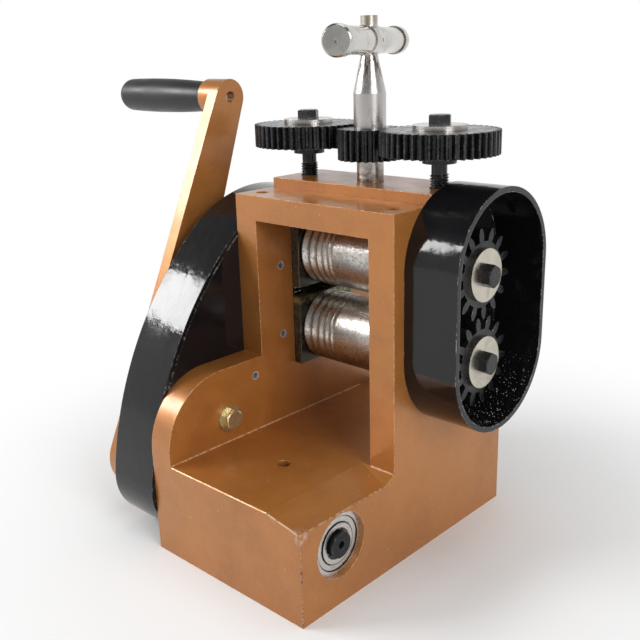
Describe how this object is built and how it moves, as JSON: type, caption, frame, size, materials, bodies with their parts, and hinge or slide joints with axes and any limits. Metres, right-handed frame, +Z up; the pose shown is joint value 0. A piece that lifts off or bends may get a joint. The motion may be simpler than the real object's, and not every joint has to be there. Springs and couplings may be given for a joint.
{
  "type": "jewellers rolling mill",
  "caption": "Hand cranked bench rolling mill: painted plate frame, geared rollers part grooved and part flat, gear case, side guard, crank with turning grip, geared height adjustment.",
  "frame": {"origin": "centre of the underside of the base", "axes": "+X towards the coupling gears, the crank is on the -X side, +Y from the feed platform to the back, +Z up"},
  "size_m": [0.3606, 0.2461, 0.3425],
  "materials": {
    "copper_enamel": "copper hammertone enamel, satin to gloss",
    "black_enamel": "glossy black enamel, chipped at the rims",
    "black_oxide": "blackened steel",
    "bright_steel": "turned bright steel",
    "roller_steel": "mottled hardened steel",
    "block_steel": "dark oiled steel",
    "bearing_steel": "bearing steel",
    "bronze": "bearing bronze",
    "yellow_zinc": "yellow zinc plate",
    "spring_steel": "spring wire",
    "grip_plastic": "satin black plastic"
  },
  "bodies": {
    "frame": {"left_side_plate": "copper_enamel", "right_side_plate": "copper_enamel", "top_cross_bar": "copper_enamel", "platform_plate": "copper_enamel", "base_cross_plates": "copper_enamel", "top_plate": "copper_enamel", "top_plate_screws": "black_oxide", "left_guard_plate": "black_enamel", "left_guard_cover": "black_enamel", "left_guard_pillars": "bright_steel", "right_guard": "black_enamel", "guard_screws": "black_oxide", "lower_bearing_blocks": "block_steel", "lower_bushes": "bronze", "lift_springs": "spring_steel", "idler_axle": "bright_steel", "idler_ring": "black_oxide", "idler_bolt": "yellow_zinc", "crank_bearing_outer_rings": "bearing_steel", "crank_bearing_ball_sets": "bearing_steel"},
    "upper_carriage": {"upper_bearing_blocks": "block_steel", "upper_bushes": "bronze"},
    "lower_roller": {"lower_roller": "roller_steel", "drive_gear": "black_oxide", "lower_roller_keys": "bright_steel", "lower_roller_washers": "bright_steel", "lower_roller_bolts": "black_oxide", "lower_coupling_gear": "black_oxide"},
    "upper_roller": {"upper_roller": "roller_steel", "upper_coupling_gear": "black_oxide", "upper_coupling_key": "bright_steel", "upper_coupling_washer": "bright_steel", "upper_coupling_bolt": "black_oxide"},
    "idler": {"idler_gear": "black_oxide", "idler_bush": "bronze"},
    "crank": {"crank_shaft": "bright_steel", "crank_gear": "black_oxide", "crank_gear_key": "bright_steel", "crank_gear_ring": "black_oxide", "crank_arm": "copper_enamel", "crank_arm_bolt": "black_oxide", "crank_arm_washer": "bright_steel", "crank_end_screw": "black_oxide", "crank_end_washer": "bright_steel", "crank_bearing_inner_rings": "bearing_steel", "grip_spindle": "bright_steel"},
    "grip": {"grip": "grip_plastic"},
    "spindle": {"spindle": "bright_steel", "spindle_ring": "bright_steel", "spindle_pinion": "black_oxide", "tommy_bar": "bright_steel", "tommy_bar_pin": "bright_steel"},
    "left_screw": {"left_screw": "black_oxide", "left_screw_gear": "black_oxide", "left_screw_washer": "bright_steel", "left_screw_bolt": "black_oxide"},
    "right_screw": {"right_screw": "black_oxide", "right_screw_gear": "black_oxide", "right_screw_washer": "bright_steel", "right_screw_bolt": "black_oxide"}
  },
  "joints": [
    {"name": "crank_turn", "type": "hinge", "parent": "frame", "child": "crank", "pos_m": [0, -0.0693, 0.0395], "axis": [1, 0, 0], "continuous": true},
    {"name": "grip_spin", "type": "hinge", "parent": "crank", "child": "grip", "pos_m": [-0.148, 0.03222, 0.29077], "axis": [1, 0, 0], "continuous": true},
    {"name": "idler_turn", "type": "hinge", "parent": "frame", "child": "idler", "pos_m": [0, -0.05257, 0.08395], "axis": [1, 0, 0], "continuous": true},
    {"name": "lower_roller_turn", "type": "hinge", "parent": "frame", "child": "lower_roller", "pos_m": [0, 0.0418, 0.13], "axis": [1, 0, 0], "continuous": true},
    {"name": "roll_lift", "type": "slide", "parent": "frame", "child": "upper_carriage", "axis": [0, 0, 1], "range_m": [-0.0058, 0.0015], "deforming": ["lift_springs"]},
    {"name": "upper_roller_turn", "type": "hinge", "parent": "upper_carriage", "child": "upper_roller", "pos_m": [0, 0.0418, 0.187], "axis": [1, 0, 0], "continuous": true},
    {"name": "spindle_turn", "type": "hinge", "parent": "frame", "child": "spindle", "pos_m": [0, 0.0418, 0.239], "axis": [0, 0, 1], "range_deg": [-556.43, 2148.66]},
    {"name": "left_screw_turn", "type": "hinge", "parent": "upper_carriage", "child": "left_screw", "pos_m": [-0.056, 0.0418, 0.239], "axis": [0, 0, 1], "range_deg": [-1193.7, 309.13]},
    {"name": "right_screw_turn", "type": "hinge", "parent": "upper_carriage", "child": "right_screw", "pos_m": [0.056, 0.0418, 0.239], "axis": [0, 0, 1], "range_deg": [-1193.7, 309.13]}
  ],
  "couplings": [
    {"joint": "idler_turn", "follows": "crank_turn", "ratio": -1.7143},
    {"joint": "lower_roller_turn", "follows": "crank_turn", "ratio": 0.34286},
    {"joint": "upper_roller_turn", "follows": "crank_turn", "ratio": -0.34286},
    {"joint": "spindle_turn", "follows": "roll_lift", "rad_per_m": -6462.7},
    {"joint": "left_screw_turn", "follows": "roll_lift", "rad_per_m": 3590.4},
    {"joint": "right_screw_turn", "follows": "roll_lift", "rad_per_m": 3590.4}
  ]
}
